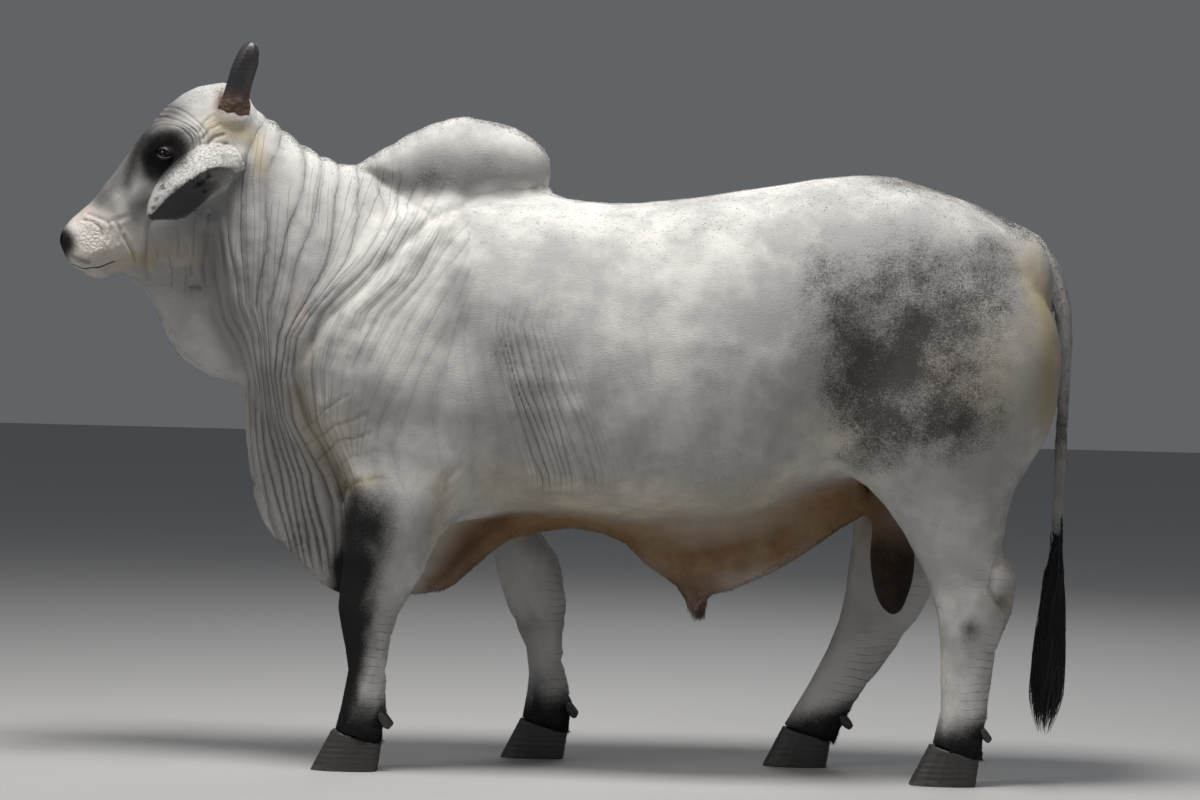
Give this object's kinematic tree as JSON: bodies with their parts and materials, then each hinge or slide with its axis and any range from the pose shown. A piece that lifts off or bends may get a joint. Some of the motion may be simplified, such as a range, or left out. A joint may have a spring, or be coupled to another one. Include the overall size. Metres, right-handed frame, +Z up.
{
  "type": "brahman bull model",
  "caption": "Life-size still model of a standing grey Brahman bull with a hump, long drooping ears, short horns, a deep dewlap, cloven hooves and a tail with a dark switch.",
  "frame": {"origin": "on the floor, under the middle of the model's box", "axes": "-X the way the animal faces, -Y its left side, +Z up"},
  "size_m": [2.437, 0.707, 1.712],
  "materials": {
    "coat": "short grey-white hair on loose, wrinkled skin",
    "dark_skin": "bare dark skin",
    "horn": "ridged dark horn",
    "hoof": "black hoof horn",
    "eye": "wet dark eye",
    "switch_hair": "long black hair"
  },
  "bodies": {
    "root": {"barrel": "coat", "cannon_fore_left": "coat", "cannon_fore_right": "coat", "cannon_hind_left": "coat", "cannon_hind_right": "coat", "chest": "coat", "claw_fore_left_inner": "hoof", "claw_fore_left_outer": "hoof", "claw_fore_right_inner": "hoof", "claw_fore_right_outer": "hoof", "claw_hind_left_inner": "hoof", "claw_hind_left_outer": "hoof", "claw_hind_right_inner": "hoof", "claw_hind_right_outer": "hoof", "dewclaw_fore_left_inner": "hoof", "dewclaw_fore_left_outer": "hoof", "dewclaw_fore_right_inner": "hoof", "dewclaw_fore_right_outer": "hoof", "dewclaw_hind_left_inner": "hoof", "dewclaw_hind_left_outer": "hoof", "dewclaw_hind_right_inner": "hoof", "dewclaw_hind_right_outer": "hoof", "dewlap_brisket": "coat", "dewlap_throat": "coat", "ear_left": "coat", "ear_right": "coat", "eye_left": "eye", "eye_right": "eye", "forearm_left": "coat", "forearm_right": "coat", "gaskin_left": "coat", "gaskin_right": "coat", "head": "coat", "hindquarters": "coat", "horn_left": "horn", "horn_right": "horn", "hump": "coat", "neck": "coat", "pastern_fore_left": "coat", "pastern_fore_right": "coat", "pastern_hind_left": "coat", "pastern_hind_right": "coat", "scrotum": "dark_skin", "sheath": "coat", "tail": "coat", "tail_switch": "switch_hair"}
  },
  "joints": []
}
